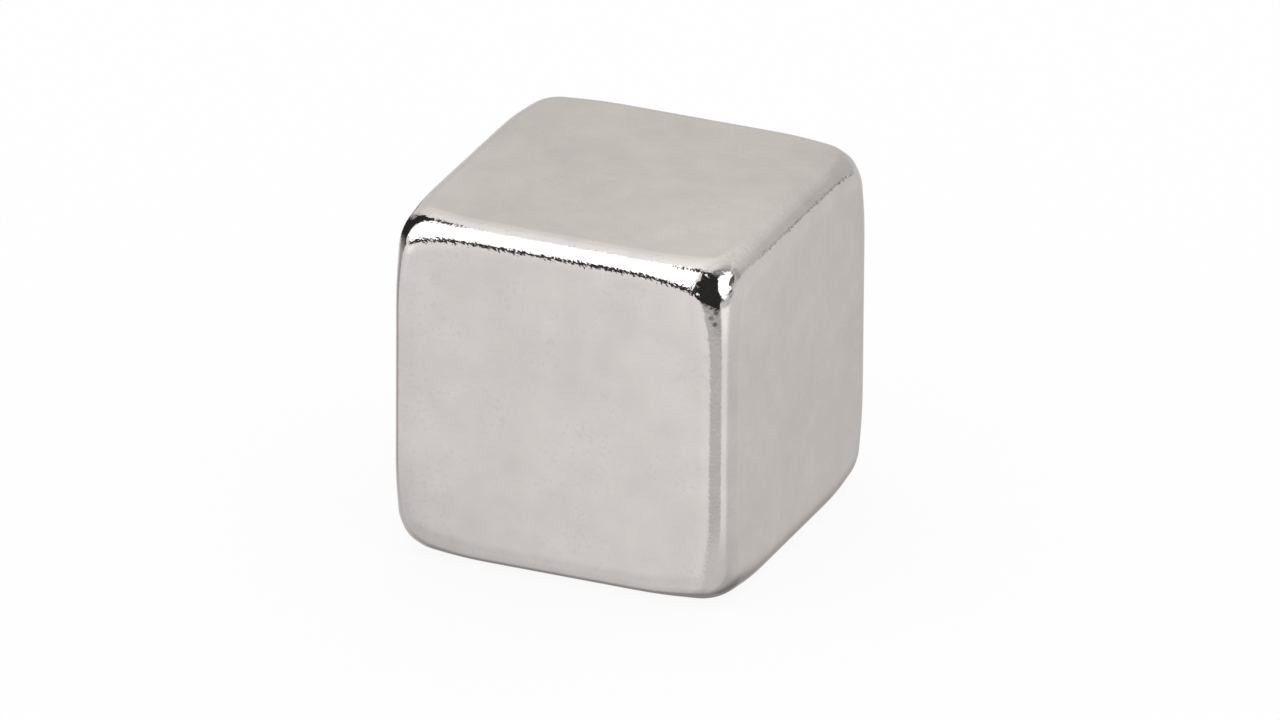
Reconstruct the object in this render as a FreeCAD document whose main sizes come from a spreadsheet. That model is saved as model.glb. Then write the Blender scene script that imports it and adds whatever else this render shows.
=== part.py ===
import FreeCAD, Part
import Sketcher
import os

# Block magnet: one sintered cube, tumbled until its edges are round and its corners rounder still,
# then plated. The origin is the centre of the face it stands on, and +Z points up.

# Driving sizes in millimetres, each with its name in the sheet
SIZES = [
    ("block_length", 10.0, "left to right, along X"),
    ("block_width", 10.0, "front to back, along Y"),
    ("block_height", 10.0, "between the two pole faces, along Z"),
    ("edge_radius", 0.7, "rounding along the middle of every edge"),
    ("corner_radius", 1.3, "rounding that an edge grows towards at the sharp corner"),
    ("worn_run", 2.5, "how far from the corner that growth begins"),
]

# Two points nearer than this are the same point
POINT_TOLERANCE = 1e-6


def make_sheet(doc):
    """The sheet of driving sizes: name, value and what it measures, one size a row."""
    sheet = doc.addObject("Spreadsheet::Sheet", "Sizes")
    for row, (alias, value, meaning) in enumerate(SIZES, 1):
        sheet.set(f"A{row}", alias)
        sheet.set(f"B{row}", str(value))
        sheet.set(f"C{row}", meaning)
        sheet.setAlias(f"B{row}", alias)
    doc.recompute()
    return sheet


def origin_plane(body, role):
    """One of the body's own origin planes, found by its role."""
    return next(plane for plane in body.Origin.OriginFeatures if plane.Role == role)


def make_footprint(body):
    """A rectangle centred on the origin, block_length by block_width."""
    sketch = body.newObject("Sketcher::SketchObject", "footprint")
    sketch.AttachmentSupport = [(origin_plane(body, "XY_Plane"), "")]
    sketch.MapMode = "FlatFace"
    corners = [FreeCAD.Vector(x, y, 0) for x, y in ((-1, -1), (1, -1), (1, 1), (-1, 1))]
    for side in range(4):
        sketch.addGeometry(Part.LineSegment(corners[side], corners[(side + 1) % 4]))
    for side in range(4):
        sketch.addConstraint(Sketcher.Constraint("Coincident", side, 2, (side + 1) % 4, 1))
    for side, direction in enumerate(("Horizontal", "Vertical", "Horizontal", "Vertical")):
        sketch.addConstraint(Sketcher.Constraint(direction, side))
    sketch.addConstraint(Sketcher.Constraint("Symmetric", 0, 1, 2, 1, -1, 1))
    length = sketch.addConstraint(Sketcher.Constraint("DistanceX", 0, 1, 0, 2, 2.0))
    width = sketch.addConstraint(Sketcher.Constraint("DistanceY", 1, 1, 1, 2, 2.0))
    sketch.setExpression(f"Constraints[{length}]", "Sizes.block_length")
    sketch.setExpression(f"Constraints[{width}]", "Sizes.block_width")
    return sketch


def make_pressed_block(doc):
    """The pressed and ground block with all twelve edges rounded alike."""
    body = doc.addObject("PartDesign::Body", "pressed_block")
    footprint = make_footprint(body)
    pad = body.newObject("PartDesign::Pad", "block")
    pad.Profile = footprint
    pad.setExpression("Length", "Sizes.block_height")
    doc.recompute()
    rounding = body.newObject("PartDesign::Fillet", "tumbled_edges")
    rounding.Base = (pad, [])
    rounding.UseAllEdges = True
    rounding.setExpression("Radius", "Sizes.edge_radius")
    body.Tip = rounding
    doc.recompute()
    return body


def make_corner_cube(doc, name, side_x, side_y, level):
    """A cube of worn_run a side in one corner of the block.

    side_x and side_y are -1 or 1, and level is 0 at the bottom and 1 at the top. The cube is turned so
    that its own origin is the block's sharp corner and its body lies inside the block.
    """
    cube = doc.addObject("Part::Box", f"{name}_cube")
    for size in ("Length", "Width", "Height"):
        cube.setExpression(size, "Sizes.worn_run")
    quarter_turns = {(-1, -1): 0, (1, -1): 1, (1, 1): 2, (-1, 1): 3}[(side_x, side_y)]
    turn = FreeCAD.Rotation(FreeCAD.Vector(0, 0, 1), 90 * quarter_turns)
    if level == 1:
        # Upside down about its diagonal, the cube still fills the same quarter of the plan
        turn = turn * FreeCAD.Rotation(FreeCAD.Vector(1, 1, 0), 180)
    cube.Placement = FreeCAD.Placement(FreeCAD.Vector(), turn)
    cube.setExpression(".Placement.Base.x", f"{side_x} * Sizes.block_length / 2")
    cube.setExpression(".Placement.Base.y", f"{side_y} * Sizes.block_width / 2")
    cube.setExpression(".Placement.Base.z", f"{level} * Sizes.block_height")
    doc.recompute()
    return cube


def make_worn_corner(doc, name, cube, sheet):
    """The corner cube with its three outer edges rounded more and more towards the sharp corner.

    Where the three roundings meet they run into one ball, which is the tumbled corner.
    """
    tip = cube.Placement.Base
    worn = doc.addObject("Part::Fillet", name)
    worn.Base = cube
    edges = []
    for index, edge in enumerate(cube.Shape.Edges, 1):
        ends = [vertex.Point.distanceToPoint(tip) for vertex in edge.Vertexes]
        if min(ends) < POINT_TOLERANCE:
            edges.append((index, sheet.corner_radius, sheet.edge_radius))
    worn.Edges = edges
    doc.recompute()
    return worn


def make_magnet(doc, sheet):
    """The block with its eight corners taken out and eight worn ones set in their place."""
    block = make_pressed_block(doc)
    cubes = []
    worn_corners = []
    for level, height_name in enumerate(("bottom", "top")):
        for side_y, depth_name in ((-1, "front"), (1, "back")):
            for side_x, side_name in ((-1, "left"), (1, "right")):
                name = f"{height_name}_{depth_name}_{side_name}"
                cube = make_corner_cube(doc, name, side_x, side_y, level)
                cubes.append(cube)
                worn_corners.append(make_worn_corner(doc, name, cube, sheet))

    corner_cubes = doc.addObject("Part::Compound", "corner_cubes")
    corner_cubes.Links = cubes
    trimmed = doc.addObject("Part::Cut", "block_without_corners")
    trimmed.Base = block
    trimmed.Tool = corner_cubes

    magnet = doc.addObject("Part::MultiFuse", "magnet_block")
    magnet.Label = "magnet_block"
    magnet.Shapes = [trimmed] + worn_corners
    magnet.Refine = True
    doc.recompute()
    return magnet


def check(doc, sub_parts):
    """Stop with a plain message if anything failed, before any file is written."""
    for item in doc.Objects:
        if "Invalid" in item.State or "Error" in item.State:
            raise RuntimeError(f"{item.Label} failed: {item.State}")
    for item in sub_parts:
        if item.Shape.isNull() or not item.Shape.isValid():
            raise RuntimeError(f"{item.Label} has no valid shape")
        if len(item.Shape.Solids) != 1:
            raise RuntimeError(f"{item.Label} holds {len(item.Shape.Solids)} solids, not one")


def export(sub_parts):
    """One STEP file for each sub-part, named after its label."""
    os.makedirs("parts", exist_ok=True)
    for item in sub_parts:
        item.Shape.exportStep(os.path.join("parts", f"{item.Label}.step"))


document = FreeCAD.newDocument("block_magnet")
sizes = make_sheet(document)
parts = [make_magnet(document, sizes)]
document.recompute()
check(document, parts)
export(parts)
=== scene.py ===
import math

import bpy
from mathutils import Matrix, Vector

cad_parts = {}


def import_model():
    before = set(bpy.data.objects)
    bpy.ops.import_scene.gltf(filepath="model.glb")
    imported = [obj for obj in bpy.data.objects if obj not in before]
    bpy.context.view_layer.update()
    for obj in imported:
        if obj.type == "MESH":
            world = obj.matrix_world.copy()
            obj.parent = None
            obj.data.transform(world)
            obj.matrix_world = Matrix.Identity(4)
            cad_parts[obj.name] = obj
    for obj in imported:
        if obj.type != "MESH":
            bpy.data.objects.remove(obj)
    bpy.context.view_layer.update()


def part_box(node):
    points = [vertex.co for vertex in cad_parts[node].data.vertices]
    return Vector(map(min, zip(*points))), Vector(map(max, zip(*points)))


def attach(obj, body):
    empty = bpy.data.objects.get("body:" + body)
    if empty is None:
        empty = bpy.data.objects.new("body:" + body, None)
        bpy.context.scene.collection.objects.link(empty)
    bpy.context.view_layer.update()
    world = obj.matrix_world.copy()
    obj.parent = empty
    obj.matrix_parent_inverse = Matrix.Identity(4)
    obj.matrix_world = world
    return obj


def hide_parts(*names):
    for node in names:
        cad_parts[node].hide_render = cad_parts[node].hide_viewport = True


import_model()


# The magnet block: one piece of sintered magnet alloy, pressed and ground to a cube, then tumbled in a
# drum until its edges are round and its corners rounder still. A bright nickel plating covers it all
# over, and it grows a little lumpy on the edges, where the plating current is strongest.
block_low, block_high = (Vector(corner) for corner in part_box("magnet_block"))
block_size = block_high - block_low
block_middle = (block_low + block_high) / 2

# The rounding, in metres: an edge's own, a corner's, and how far from the sharp corner an edge's
# rounding begins to grow and has grown in full. With a squareness of 2 its section would be an arc.
edge_radius = 0.894e-3
corner_radius = 1.325e-3
worn_from = 3.616e-3
worn_full = 0.551e-3
wear_growth = 2.745
squareness = 2.6

# The grid that the block is pressed from, with its lines crowded towards the edges
grid_lines = 129
grid_crowding = 1.6

# The plating's lumps, in metres, with their share on the flats and how far round an edge they are full
lump_size = 0.30e-3
lump_height = 1.6e-6
flat_lump_share = 0.06
lumps_full_at = 0.6
lump_seed = 11.0


class Wiring:
    """Adds nodes to one tree and joins them up. An input takes a plain value or another node's output."""

    def __init__(self, tree):
        self.tree = tree

    def node(self, kind, **settings):
        """A new node of one kind, with its settings."""
        made = self.tree.nodes.new(kind)
        for name, value in settings.items():
            setattr(made, name, value)
        return made

    def feed(self, socket, value):
        """Give an input its value, or link it to another node's output."""
        if isinstance(value, bpy.types.NodeSocket):
            self.tree.links.new(value, socket)
        else:
            socket.default_value = value

    def number(self, operation, *values, clamp=False):
        """One step of arithmetic with numbers."""
        made = self.node("ShaderNodeMath", operation=operation, use_clamp=clamp)
        for socket, value in zip(made.inputs, values):
            self.feed(socket, value)
        return made.outputs["Value"]

    def product(self, first, *others):
        """Any number of numbers multiplied together."""
        for other in others:
            first = self.number("MULTIPLY", first, other)
        return first

    def vector(self, operation, *values):
        """One step of arithmetic with vectors, some of which end in a number."""
        made = self.node("ShaderNodeVectorMath", operation=operation)
        for socket, value in zip(made.inputs, values):
            self.feed(socket, value)
        ends_in_number = operation in ("LENGTH", "DISTANCE", "DOT_PRODUCT")
        return made.outputs["Value" if ends_in_number else "Vector"]

    def scaled(self, value, factor):
        """A vector times a number."""
        made = self.node("ShaderNodeVectorMath", operation="SCALE")
        self.feed(made.inputs[0], value)
        self.feed(made.inputs["Scale"], factor)
        return made.outputs["Vector"]

    def split(self, value):
        """The three numbers of a vector."""
        made = self.node("ShaderNodeSeparateXYZ")
        self.feed(made.inputs[0], value)
        return tuple(made.outputs)

    def mapped(self, value, start, end, low, high, course="LINEAR"):
        """A value carried from one span onto another, and held at its ends."""
        made = self.node("ShaderNodeMapRange", interpolation_type=course)
        names = ("Value", "From Min", "From Max", "To Min", "To Max")
        for name, item in zip(names, (value, start, end, low, high)):
            self.feed(made.inputs[name], item)
        return made.outputs["Result"]

    def mixed(self, kind, share, first, second):
        """Two numbers, colours or shaders mixed, with this share of the second one."""
        if kind == "SHADER":
            made = self.node("ShaderNodeMixShader")
            first_input, output = 1, 0
        else:
            # This node has a pair of inputs and an output for each kind of value
            made = self.node("ShaderNodeMix", data_type=kind)
            first_input, output = {"FLOAT": (2, 0), "RGBA": (6, 2)}[kind]
        self.feed(made.inputs[0], share)
        self.feed(made.inputs[first_input], first)
        self.feed(made.inputs[first_input + 1], second)
        return made.outputs[output]


def make_plated_block_tree(plating):
    """Geometry Nodes that press a fine cube grid into the tumbled block and give it its lumpy edges.

    Gives the tree, and the value for each of its inputs by the input's identifier.
    """
    tree = bpy.data.node_groups.new("plated_block", "GeometryNodeTree")
    input_values = {}
    for name, kind, value in (
        ("Size", "NodeSocketVector", tuple(block_size)),
        ("Middle", "NodeSocketVector", tuple(block_middle)),
        ("Edge Radius", "NodeSocketFloat", edge_radius),
        ("Corner Radius", "NodeSocketFloat", corner_radius),
        ("Worn From", "NodeSocketFloat", worn_from),
        ("Worn Full", "NodeSocketFloat", worn_full),
        ("Wear Growth", "NodeSocketFloat", wear_growth),
        ("Squareness", "NodeSocketFloat", squareness),
        ("Grid Lines", "NodeSocketInt", grid_lines),
        ("Grid Crowding", "NodeSocketFloat", grid_crowding),
        ("Lump Size", "NodeSocketFloat", lump_size),
        ("Lump Height", "NodeSocketFloat", lump_height),
        ("Flat Lump Share", "NodeSocketFloat", flat_lump_share),
        ("Seed", "NodeSocketFloat", lump_seed),
        ("Plating", "NodeSocketMaterial", plating),
    ):
        socket = tree.interface.new_socket(name, in_out="INPUT", socket_type=kind)
        input_values[socket.identifier] = value
    tree.interface.new_socket("Geometry", in_out="OUTPUT", socket_type="NodeSocketGeometry")
    size_of = tree.nodes.new("NodeGroupInput").outputs
    wires = Wiring(tree)
    node, feed, number, vector = wires.node, wires.feed, wires.number, wires.vector

    def all_three(value):
        """One number as all three of a vector's."""
        made = node("ShaderNodeCombineXYZ")
        for socket in made.inputs:
            feed(socket, value)
        return made.outputs["Vector"]

    # A grid over a cube from -1 to 1, with its lines crowded towards the edges
    ones = (1.0, 1.0, 1.0)
    cube = node("GeometryNodeMeshCube")
    feed(cube.inputs["Size"], (2.0, 2.0, 2.0))
    for name in ("Vertices X", "Vertices Y", "Vertices Z"):
        feed(cube.inputs[name], size_of["Grid Lines"])
    place = node("GeometryNodeInputPosition").outputs["Position"]
    side = vector("SIGN", place)
    from_edge = vector("SUBTRACT", ones, vector("ABSOLUTE", place))
    crowded = vector("SUBTRACT", ones, vector("POWER", from_edge, all_three(size_of["Grid Crowding"])))

    # The rounding: it grows from the edge's to the corner's near a corner, and squares off a little
    half = wires.scaled(size_of["Size"], 0.5)
    raw = vector("MULTIPLY", crowded, half)
    from_tip = vector("LENGTH", vector("SUBTRACT", half, raw))
    nearness = wires.mapped(from_tip, size_of["Worn Full"], size_of["Worn From"], 1.0, 0.0, "SMOOTHSTEP")
    worn = number("POWER", nearness, size_of["Wear Growth"])
    growth = number("SUBTRACT", size_of["Corner Radius"], size_of["Edge Radius"])
    radius = number("ADD", size_of["Edge Radius"], number("MULTIPLY", growth, worn))
    core = vector("MINIMUM", raw, vector("SUBTRACT", half, all_three(radius)))
    outward = vector("SUBTRACT", raw, core)
    powered = wires.split(vector("POWER", outward, all_three(size_of["Squareness"])))
    total = number("ADD", number("ADD", powered[0], powered[1]), powered[2])
    reach = number("POWER", total, number("DIVIDE", 1.0, size_of["Squareness"]))
    rounded = vector("ADD", core, wires.scaled(outward, number("DIVIDE", radius, reach)))
    shaped = node("GeometryNodeSetPosition")
    feed(shaped.inputs["Geometry"], cube.outputs["Mesh"])
    feed(shaped.inputs["Position"], vector("ADD", vector("MULTIPLY", rounded, side), size_of["Middle"]))

    # How far each point has turned from the nearest flat: 0 on the flats, 1 half-way round an edge
    normal = node("GeometryNodeInputNormal").outputs["Normal"]
    facing = wires.split(vector("ABSOLUTE", normal))
    most_facing = number("MAXIMUM", number("MAXIMUM", facing[0], facing[1]), facing[2])
    turned = number("ARCCOSINE", number("MINIMUM", most_facing, 1.0))
    roundness = number("DIVIDE", turned, math.pi / 4)
    kept = node("GeometryNodeStoreNamedAttribute", data_type="FLOAT", domain="POINT")
    feed(kept.inputs["Geometry"], shaped.outputs["Geometry"])
    feed(kept.inputs["Name"], "roundness")
    feed(kept.inputs["Value"], roundness)

    # The plating's lumps stand along the normal, and fade to almost nothing on the flats
    noise = node("ShaderNodeTexNoise", noise_dimensions="4D")
    feed(noise.inputs["Vector"], node("GeometryNodeInputPosition").outputs["Position"])
    feed(noise.inputs["W"], size_of["Seed"])
    feed(noise.inputs["Scale"], number("DIVIDE", 1.0, size_of["Lump Size"]))
    feed(noise.inputs["Detail"], 1.0)
    swing = number("MULTIPLY", number("SUBTRACT", noise.outputs[0], 0.5), 2.0)
    share = wires.mapped(roundness, 0.0, lumps_full_at, size_of["Flat Lump Share"], 1.0, "SMOOTHSTEP")
    lift = wires.product(swing, share, size_of["Lump Height"])
    lumpy = node("GeometryNodeSetPosition")
    feed(lumpy.inputs["Geometry"], kept.outputs["Geometry"])
    feed(lumpy.inputs["Offset"], wires.scaled(normal, lift))

    whole = node("GeometryNodeRealizeInstances")
    feed(whole.inputs["Geometry"], lumpy.outputs["Geometry"])
    soft = node("GeometryNodeSetShadeSmooth")
    feed(soft.inputs[0], whole.outputs["Geometry"])
    coat = node("GeometryNodeSetMaterial")
    feed(coat.inputs["Geometry"], soft.outputs[0])
    feed(coat.inputs["Material"], size_of["Plating"])
    feed(node("NodeGroupOutput").inputs["Geometry"], coat.outputs["Geometry"])
    return tree, input_values


# Nearly all of a noise lies between these two
noise_low, noise_high = 0.3, 0.7

# The nickel's own colour, its tint at a glancing look, and its haze: how large its patches are, and
# the least and the most of it
nickel_colour = (0.622, 0.589, 0.570)
glancing_tint = (0.97, 0.935, 0.915, 1.0)
haze_size = 0.5e-3
least_haze, most_haze = 0.05, 0.08

# The clouds in the coat: how large the slow and the small ones are, and how dark and pale they get
slow_cloud_size, slow_cloud_share = 2.6e-3, 0.42
small_cloud_size, small_cloud_share = 0.8e-3, 0.58
darkest_cloud, palest_cloud = 0.94, 1.06

# The corner nearest the camera, which is the upper one on the front right. A painted highlight makes
# the coat palest there, and painted shade makes it darkest towards the opposite corner.
near_corner = (block_high.x, block_low.y, block_high.z)
near_painted_highlight, far_painted_shade = 1.045, 0.925
darkest_from = 0.85 * block_size.length

# Patches of painted highlight and painted shade in the coat, each with its middle, the distances at
# which it begins to fade and has faded, and its tone. The first, a painted highlight, is on the top
# face, behind the near corner; the other two are painted shade at the back upper right corner and the
# front lower left corner.
painted_light_and_shade_patches = [
    ((4.0e-3, -2.8e-3, 10.5e-3), 1.0e-3, 3.8e-3, 1.05),
    (tuple(block_high), 1.0e-3, 4.0e-3, 0.95),
    (tuple(block_low), 0.8e-3, 3.6e-3, 0.91),
]

# Three pits in the coat, on the upright edge just under the near corner, drawn only as painted shade
# with their tones
pit_radius = 0.04e-3
pit_reach = 0.09e-3
for pit, pit_painted_shade in (
    ((4.56e-3, -4.85e-3, 8.82e-3), 0.34),
    ((4.45e-3, -4.92e-3, 8.67e-3), 0.50),
    ((4.54e-3, -4.89e-3, 8.49e-3), 0.36),
):
    painted_light_and_shade_patches.append((pit, pit_radius, pit_reach, pit_painted_shade))

# Specks in the coat, a tenth of a millimetre across, and the fields in which they gather. Each is
# the upper part of a noise, from where it begins to where it is full.
speck_size = 0.11e-3
speck_from, speck_full = 0.64, 0.74
speck_field_size = 1.6e-3
speck_field_from, speck_field_full = 0.42, 0.62
speck_depth = 0.1e-6
speck_tone = 0.95

# The coat's finest lumps, and the shares of their height: by how far an edge has turned, by the
# distance from the near corner, and by the level above the table. Each is given as where it starts
# and ends, and the share at its start and at its end.
grain_size = 0.10e-3
grain_height = 9.3e-6
grain_by_turn = ((0.06, 0.30, 0.008, 1.0), (0.55, 0.95, 1.0, 0.55), (0.86, 1.04, 1.0, 0.25))
grain_by_distance = (1.2e-3, 3.0e-3, 0.7, 1.0)
grain_by_level = (8.2e-3, 9.0e-3, 0.62, 1.0)


def make_nickel_plating():
    """Bright nickel: a slightly warm mirror with a faint cloudiness, fine specks and lumpy edges, and
    painted light and shade in its colour.
    """
    plating = bpy.data.materials.new("nickel_plating")
    plating.use_nodes = True
    shader = plating.node_tree.nodes["Principled BSDF"]
    wires = Wiring(plating.node_tree)
    node, feed, mapped, product = wires.node, wires.feed, wires.mapped, wires.product
    feed(shader.inputs["Metallic"], 1.0)
    feed(shader.inputs["Specular Tint"], glancing_tint)
    where = node("ShaderNodeTexCoord").outputs["Object"]
    roundness = node("ShaderNodeAttribute", attribute_name="roundness").outputs["Fac"]

    def noise(size, detail):
        made = node("ShaderNodeTexNoise")
        feed(made.inputs["Vector"], where)
        feed(made.inputs["Scale"], 1.0 / size)
        feed(made.inputs["Detail"], detail)
        return made.outputs[0]

    def round_patch(middle, start, end, low, high):
        """A tone that changes with the distance from one point of the block."""
        return mapped(wires.vector("DISTANCE", where, middle), start, end, low, high)

    # The coat's tone: slow clouds and small ones, a painted highlight round the near corner fading to
    # painted shade, and the patches and pits of painted light and shade
    slow_clouds = product(noise(slow_cloud_size, 1.0), slow_cloud_share)
    small_clouds = product(noise(small_cloud_size, 3.0), small_cloud_share)
    clouds = wires.number("ADD", slow_clouds, small_clouds)
    tone = product(
        round_patch(near_corner, 0.0, darkest_from, near_painted_highlight, far_painted_shade),
        mapped(clouds, noise_low, noise_high, darkest_cloud, palest_cloud),
        *(round_patch(middle, start, end, level, 1.0) for middle, start, end, level in painted_light_and_shade_patches),
    )

    # The specks are the highest tops of a fine noise, inside the fields of a slow one
    speck_field = mapped(noise(speck_field_size, 1.0), speck_field_from, speck_field_full, 0.0, 1.0)
    speck = product(mapped(noise(speck_size, 0.0), speck_from, speck_full, 0.0, 1.0), speck_field)
    tone = product(tone, mapped(speck, 0.0, 1.0, 1.0, speck_tone))
    feed(shader.inputs["Base Color"], wires.scaled(nickel_colour, tone))
    haze = mapped(noise(haze_size, 2.0), noise_low, noise_high, least_haze, most_haze)
    feed(shader.inputs["Roughness"], haze)

    # The finest lumps: almost none on the flats, and coarsest where a top edge begins to turn
    level = wires.split(where)[2]
    coarse = product(
        *(mapped(roundness, *share) for share in grain_by_turn),
        round_patch(near_corner, *grain_by_distance),
        mapped(level, *grain_by_level),
    )
    grain = product(noise(grain_size, 1.5), coarse, grain_height)
    bump = node("ShaderNodeBump")
    feed(bump.inputs["Strength"], 1.0)
    feed(bump.inputs["Distance"], 1.0)
    feed(bump.inputs["Height"], wires.number("ADD", grain, product(speck, -speck_depth)))
    feed(shader.inputs["Normal"], bump.outputs["Normal"])
    return plating


nickel_plating = make_nickel_plating()
block_tree, block_inputs = make_plated_block_tree(nickel_plating)
raw_block = bpy.data.objects.new("raw_block", bpy.data.meshes.new("raw_block"))
bpy.context.scene.collection.objects.link(raw_block)
pressing = raw_block.modifiers.new("plated_block", "NODES")
pressing.node_group = block_tree
for identifier, input_value in block_inputs.items():
    pressing[identifier] = input_value
pressed = raw_block.evaluated_get(bpy.context.evaluated_depsgraph_get())
plated_block = bpy.data.objects.new("plated_block", bpy.data.meshes.new_from_object(pressed))
bpy.context.scene.collection.objects.link(plated_block)
bpy.data.objects.remove(raw_block)
plated_block.data.name = "plated_block"
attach(plated_block, "root")
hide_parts("magnet_block")


# The table: a wide sheet of white paper that the block stands on. It reads as white to the camera and
# keeps the block's soft shadow. The block mirrors the studio around it instead of the sheet.
table_reach = 2.0
paper_tone = 0.95
paper_glow = 0.90
table_corners = [(x * table_reach, y * table_reach, 0.0) for x, y in ((-1, -1), (1, -1), (1, 1), (-1, 1))]
table_mesh = bpy.data.meshes.new("table")
table_mesh.from_pydata(table_corners, [], [(0, 1, 2, 3)])
table = bpy.data.objects.new("table", table_mesh)
bpy.context.scene.collection.objects.link(table)
table.visible_glossy = False
paper = bpy.data.materials.new("white_paper")
paper.use_nodes = True
paper.node_tree.nodes.remove(paper.node_tree.nodes["Principled BSDF"])
paper_wires = Wiring(paper.node_tree)
matt = paper_wires.node("ShaderNodeBsdfDiffuse")
paper_wires.feed(matt.inputs["Color"], (paper_tone, paper_tone, paper_tone, 1.0))
glow = paper_wires.node("ShaderNodeEmission")
glowing_paper = paper_wires.mixed("SHADER", paper_glow, matt.outputs[0], glow.outputs[0])
paper_wires.feed(paper.node_tree.nodes["Material Output"].inputs["Surface"], glowing_paper)
table_mesh.materials.append(paper)


# The studio, as the block mirrors it: white sheets all round, a tall soft window to the left and
# front, a smaller one to the right, a dark gap under each, and the dark room where the camera stands.
# Bearings are in degrees, 0 at the front and 90 at the right, and heights are degrees above the table.
studio = bpy.data.worlds.new("studio")
bpy.context.scene.world = studio
studio.use_nodes = True
studio_wires = Wiring(studio.node_tree)
number = studio_wires.number
full_turn = 360.0
to_degrees = full_turn / (2 * math.pi)
sight = studio_wires.node("ShaderNodeTexCoord").outputs["Generated"]
sight_x, sight_y, sight_z = studio_wires.split(sight)
bearing = number("MULTIPLY", number("ARCTAN2", sight_x, number("MULTIPLY", sight_y, -1.0)), to_degrees)
height = number("MULTIPLY", number("ARCSINE", sight_z), to_degrees)


def rises(value, softness):
    """0 below zero and 1 above it, with a smooth step as wide as the softness."""
    return studio_wires.mapped(value, -softness / 2, softness / 2, 0.0, 1.0, "SMOOTHSTEP")


def after(value, border, softness):
    """1 past a border and 0 before it. Borders and their softness are in degrees."""
    return rises(number("SUBTRACT", value, border), softness)


def before(value, border, softness):
    """1 before a border and 0 past it."""
    return rises(number("SUBTRACT", border, value), softness)


def all_of(*masks):
    """1 only where all the masks are 1."""
    return studio_wires.product(*masks)


def span(value, start, end):
    """1 between two borders, each given with its softness."""
    return all_of(after(value, *start), before(value, *end))


def near(round_bearing, round_height, reach, softness):
    """A round patch of the studio: 1 within the reach of one direction, in degrees, and 0 beyond it."""
    across, up = math.radians(round_bearing), math.radians(round_height)
    middle = (math.sin(across) * math.cos(up), -math.cos(across) * math.cos(up), math.sin(up))
    away = number("ARCCOSINE", studio_wires.vector("DOT_PRODUCT", sight, middle))
    return before(number("MULTIPLY", away, to_degrees), reach, softness)


def drawn(value, *points):
    """A border drawn through a few points: a height for each bearing, or a bearing for each height."""
    first, last = points[0][0], points[-1][0]
    along = number("DIVIDE", number("SUBTRACT", value, float(first)), float(last - first), clamp=True)
    curve = studio_wires.node("ShaderNodeFloatCurve")
    studio_wires.feed(curve.inputs["Value"], along)
    line = curve.mapping.curves[0]
    while len(line.points) < len(points):
        line.points.new(0.5, 0.5)
    for knot, (start, end) in zip(line.points, points):
        knot.location = ((start - first) / (last - first), end / full_turn + 0.5)
        knot.handle_type = "AUTO_CLAMPED"
    curve.mapping.update()
    return number("MULTIPLY", number("SUBTRACT", curve.outputs[0], 0.5), full_turn)


def laid_over(below, level, *masks):
    """One brightness over another, where all the masks are 1."""
    return studio_wires.mixed("FLOAT", all_of(*masks), below, level)


# A layer of the studio is a brightness and its masks, and lies over the layers before it. These
# brightnesses come more than once, besides the plain sheet under all the layers.
sheet_light = 0.82
window_light = 2.1
spark_light = 1.80
shade_dark = 0.05
room_dark = 0.03

# The sheets behind and overhead, palest high up
behind_left = before(bearing, -116.0, 16.0)
far_left = span(bearing, (-160.0, 50.0), (-60.0, 20.0))
sheet_edge = drawn(bearing, (-180, 39), (-168, 34), (-156, 29), (-146, 23), (-130, 15))
layers = [
    (1.05, after(height, 50.0, 44.0)),
    (0.87, behind_left, span(height, (-8.0, 20.0), (30.0, 14.0))),
    (0.76, before(bearing, -142.0, 10.0), span(height, (-14.0, 12.0), (12.0, 16.0))),
    (1.01, behind_left, span(height, (sheet_edge, 6.0), (54.0, 16.0))),
    (1.21, far_left, after(height, 45.0, 24.0)),
    (1.29, far_left, span(height, (66.0, 20.0), (79.0, 8.0))),
    (1.75, span(bearing, (-97.0, 24.0), (-60.0, 20.0)), span(height, (62.0, 10.0), (80.0, 6.0))),
    (0.76, span(bearing, (-80.0, 20.0), (66.0, 30.0)), after(height, 80.0, 6.0)),
    (1.24, after(height, 86.0, 3.0)),
]

# The table all round, with a pale wedge and a pale pool of light on it, and dark behind the block
left_table = all_of(span(bearing, (-100.0, 14.0), (2.0, 10.0)), before(height, 40.0, 10.0))
wedge_left = drawn(height, (-72, -46), (-60, -38), (-50, -32), (-44, -26), (-20, -22))
wedge_right = drawn(height, (-72, 10), (-50, 16), (-30, 9), (-20, -2))
wedge = all_of(span(bearing, (wedge_left, 16.0), (wedge_right, 8.0)), before(height, 0.0, 10.0))
pool = all_of(span(bearing, (54.0, 12.0), (81.0, 20.0)), before(height, -5.0, 8.0))
layers += [
    (0.75, before(bearing, -84.0, 34.0), before(height, -27.0, 6.0)),
    (0.86, left_table, after(height, -56.0, 24.0)),
    (0.97, left_table, after(height, -28.0, 8.0)),
    (1.10, left_table, after(height, -11.0, 18.0)),
    (1.40, left_table, near(-72.0, 0.0, 12.0, 22.0)),
    (0.93, wedge, after(height, -82.0, 16.0)),
    (1.04, wedge, after(height, -31.0, 12.0)),
    (1.06, pool, after(height, -31.0, 16.0)),
    (1.25, pool, after(height, -16.0, 10.0)),
    (0.77, span(bearing, (90.0, 12.0), (146.0, 16.0)), before(height, -20.0, 10.0)),
    (0.60, after(bearing, 87.0, 26.0), before(height, -38.0, 30.0)),
    (0.72, before(height, -80.0, 12.0)),
    (0.26, near(176.0, -55.0, 24.0, 28.0)),
    (0.36, before(bearing, -116.0, 56.0), span(height, (-76.0, 10.0), (-46.0, 16.0))),
]

# The sill of the right window, where the room ends too
sill_start = 61.0
right_sill = drawn(
    bearing, (60, 3), (66, 5), (75, 9.5), (86, 14), (94, 18), (103, 27), (112, 32.5), (126, 38)
)

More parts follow.
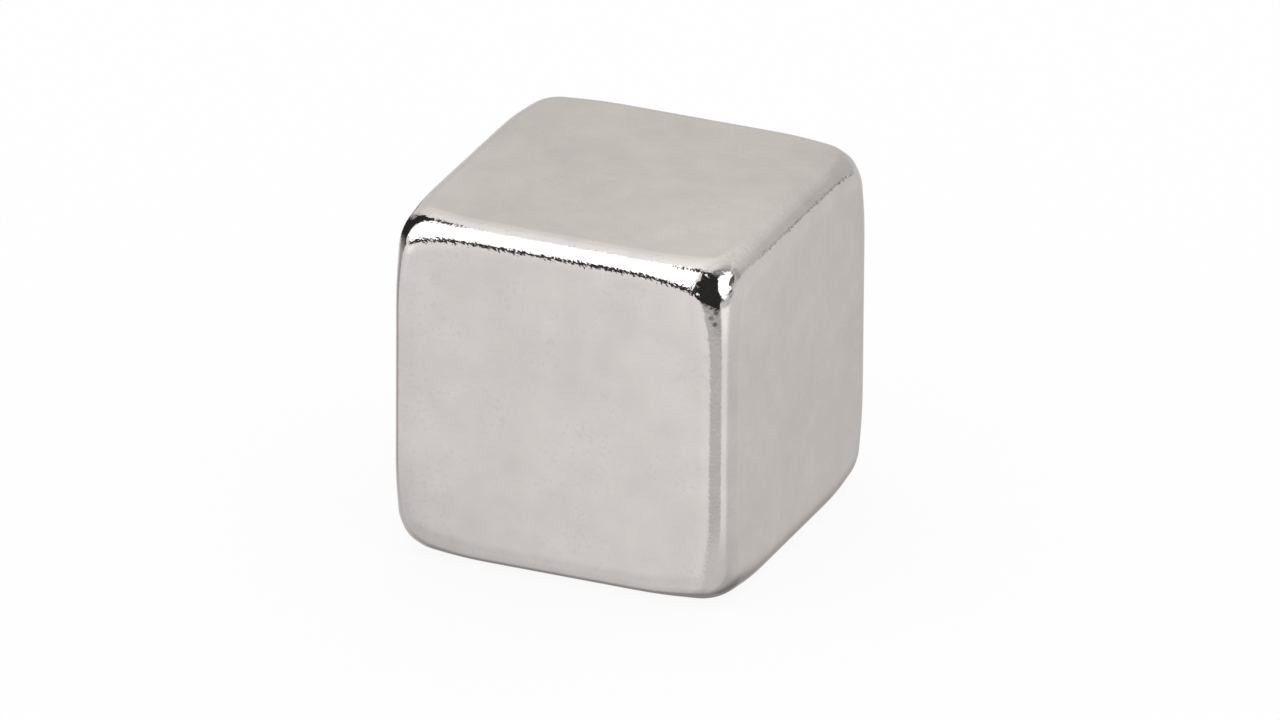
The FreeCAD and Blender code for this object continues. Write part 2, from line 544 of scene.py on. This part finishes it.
# The dark room round the camera, fading out at the right, with a dark beam overhead, two small
# lights in it and a dim strip of floor before it
floor_right = drawn(height, (-32, 50), (-22, 52), (-12, 58))
dim_floor = all_of(span(bearing, (1.0, 8.0), (floor_right, 10.0)), before(height, 0.0, 6.0))
room_left = drawn(height, (10, -12), (22, -10), (32, -7), (50, 0), (58, 8), (64, 11))
room_right = drawn(height, (20, 128), (52, 128), (60, 122), (66, 112), (72, 98), (77, 80))
room_floor = drawn(bearing, (-14, 2), (-4, -2), (6, -4), (20, -5), (45, -7), (57, -6), (62, 1))
room_top = drawn(
    bearing, (-80, 82), (-60, 82.7), (-30, 82), (0, 80.8), (27, 80), (40, 77.7), (54, 75.5), (70, 73.5)
)
before_sill = number("SUBTRACT", sill_start, bearing)
over_sill = number("SUBTRACT", height, right_sill)
clear_of_sill = rises(number("MAXIMUM", before_sill, over_sill), 3.0)
room_reach = span(bearing, (room_left, 3.0), (room_right, 84.0))
beam_foot = drawn(bearing, (-80, 78), (-60, 76.8), (-40, 75.3), (-20, 74), (10, 73), (50, 70))
beam_reach = span(bearing, (-84.0, 16.0), (50.0, 60.0))
layers += [
    (0.68, dim_floor, after(height, -28.0, 8.0)),
    (0.50, dim_floor, after(height, -16.0, 8.0)),
    (0.30, dim_floor, after(height, -9.0, 5.0)),
    (room_dark, room_reach, span(height, (room_floor, 4.0), (room_top, 2.5)), clear_of_sill),
    (shade_dark, beam_reach, span(height, (beam_foot, 2.0), (room_top, 2.5))),
    (spark_light, near(29.0, 68.3, 2.0, 2.0)),
    (0.60, near(3.0, 38.0, 2.2, 2.0)),
]

# The left window, with its lower edge curved like the sheet's far edge, and the dark gap below it
left_sill = drawn(
    bearing, (-92, 3), (-80, 5), (-70, 13), (-60, 20), (-50, 25), (-40, 27.5), (-30, 27.5), (-20, 24),
    (-10, 17)
)
left_gap = drawn(bearing, (-78, 6), (-70, 11), (-50, 12.5), (-25, 13), (-10, 15))
left_gap_foot = number("SUBTRACT", left_sill, left_gap)
left_side = drawn(height, (8, -11), (28, -10), (40, -7), (50, -3.5), (58, -1.5), (64, 3), (72, 4.5))
left_top = drawn(bearing, (-95, 77), (-60, 75.8), (-40, 74.5), (-20, 73.5), (-5, 72.5), (9, 70))
left_reach = span(bearing, (-92.0, 4.0), (left_side, 2.0))
gap_reach = span(bearing, (-84.0, 10.0), (-9.0, 3.0))
layers += [
    (shade_dark, gap_reach, span(height, (left_gap_foot, 2.5), (30.0, 1.0))),
    (window_light, left_reach, span(height, (left_sill, 1.5), (left_top, 3.0))),
    (spark_light, near(-2.0, 13.0, 3.2, 2.0)),
]

# The right window, rounded at the top, and under it a thin dark gap that runs on low round the back
right_side = drawn(
    height, (3, 70), (8, 65), (13, 59), (20, 56.5), (27, 56), (35, 58.5), (42, 61.5), (48, 66.5), (53, 75)
)
right_top = drawn(
    bearing, (52, 40), (56, 45), (62, 52), (75, 57), (90, 58.5), (105, 58), (112, 56), (120, 48), (126, 38)
)
right_reach = all_of(after(bearing, right_side, 2.0), before(height, right_top, 3.0))
back_wall = drawn(
    bearing, (112, 21), (120, 21), (128, 17), (137, 14), (143, 11), (147, 5), (151, 1), (158, 2), (167, 0),
    (180, -6)
)
wall = all_of(before(bearing, 176.0, 14.0), after(height, back_wall, 3.0))
under_sill = all_of(span(bearing, (70.0, 12.0), (126.0, 6.0)), before(height, right_sill, 2.0))
under_sill_foot = number("SUBTRACT", right_sill, 12.0)
slit_foot = number("SUBTRACT", right_sill, 4.5)
low_gap_foot = number("SUBTRACT", back_wall, 2.2)
low_gap_top = number("ADD", back_wall, 1.0)
low_gap = span(height, (low_gap_foot, 2.0), (low_gap_top, 2.0))
layers += [
    (0.72, wall, after(bearing, 142.0, 6.0), before(height, 29.0, 14.0)),
    (0.66, wall, span(bearing, (142.0, 4.0), (160.0, 18.0)), before(height, 23.0, 10.0)),
    (0.47, wall, span(bearing, (108.0, 8.0), (139.0, 10.0)), before(height, 36.0, 12.0)),
    (0.64, under_sill, after(height, under_sill_foot, 10.0)),
    (0.08, under_sill, after(height, slit_foot, 2.5), after(bearing, 86.0, 16.0)),
    (0.22, span(bearing, (143.0, 4.0), (157.0, 6.0)), low_gap),
    (window_light, right_reach, after(height, right_sill, 1.0)),
]

# The dark doorway at the far left, and its own dark image in the table
door_left = drawn(
    height, (-14, -148), (-8, -139), (-2, -133.5), (5, -128.5), (12, -124.5), (20, -122), (30, -118.5),
    (44, -114), (54, -113), (60, -116)
)
door_right = drawn(height, (-8, -95), (10, -93), (30, -94), (44, -91.5), (50, -89.5), (58, -93))
door_foot = drawn(bearing, (-150, -24), (-130, -16), (-118, -11), (-95, -8))
door_reach = span(bearing, (door_left, 4.0), (door_right, 5.0))
image_right = drawn(height, (-26, -102), (-18, -102), (-12, -98), (-6, -97))
image = all_of(
    span(bearing, (-122.0, 10.0), (image_right, 6.0)), span(height, (-26.0, 8.0), (0.0, 10.0))
)
layers += [
    (0.48, image),
    (0.28, image, after(height, -14.0, 4.0)),
    (room_dark, door_reach, span(height, (door_foot, 5.0), (61.5, 2.5))),
]

brightness = sheet_light
for level, *masks in layers:
    brightness = laid_over(brightness, level, *masks)

# The sheet behind is a little cream. Only the block's mirror sees the studio: to the camera and to the
# paper it is plain white.
white = (1.0, 1.0, 1.0, 1.0)
cream = (1.0, 0.992, 0.966, 1.0)
behind = all_of(after(number("ABSOLUTE", bearing), 150.0, 20.0), after(height, 12.0, 16.0))
mirrored = studio.node_tree.nodes["Background"]
studio_wires.feed(mirrored.inputs["Strength"], brightness)
studio_wires.feed(mirrored.inputs["Color"], studio_wires.mixed("RGBA", behind, white, cream))
plain = studio_wires.node("ShaderNodeBackground")
studio_wires.feed(plain.inputs["Color"], white)
in_mirror = studio_wires.node("ShaderNodeLightPath").outputs["Is Glossy Ray"]
seen = studio_wires.mixed("SHADER", in_mirror, plain.outputs[0], mirrored.outputs[0])
studio_wires.feed(studio.node_tree.nodes["World Output"].inputs["Surface"], seen)


# The camera: a long lens far off, a little above the block and round to its right, as the photo was
# taken. Its angles, its distance and its aim were fitted to the block's outline in the photo.
camera_bearing = math.radians(23.1055)
camera_height = math.radians(24.3496)
camera_roll = math.radians(0.4074)
camera_distance = 63.1142 * block_size.x

# In the photo's pixels: its width, a side of the block, and how far the block's middle lies off the
# picture's middle
photo_width_pixels = 1280.0
block_side_pixels = 369.1489
right_pixels = -9.446
up_pixels = 13.6749
photo_width = photo_width_pixels / block_side_pixels * block_size.x
slide_right = right_pixels / block_side_pixels * block_size.x
slide_up = up_pixels / block_side_pixels * block_size.x
back = Vector((
    math.sin(camera_bearing) * math.cos(camera_height),
    -math.cos(camera_bearing) * math.cos(camera_height),
    math.sin(camera_height),
))
level_right = Vector((math.cos(camera_bearing), math.sin(camera_bearing), 0.0))
level_up = back.cross(level_right)
right = level_right * math.cos(camera_roll) + level_up * math.sin(camera_roll)
up = level_up * math.cos(camera_roll) - level_right * math.sin(camera_roll)
camera_data = bpy.data.cameras.new("camera")
camera_data.sensor_width = 36.0
camera_data.lens = camera_distance / photo_width * camera_data.sensor_width
camera = bpy.data.objects.new("camera", camera_data)
bpy.context.scene.collection.objects.link(camera)
camera_place = block_middle + back * camera_distance - right * slide_right - up * slide_up
camera.matrix_world = Matrix.Translation(camera_place) @ Matrix((right, up, back)).transposed().to_4x4()
bpy.context.scene.camera = camera
bpy.context.scene.view_settings.view_transform = "Standard"
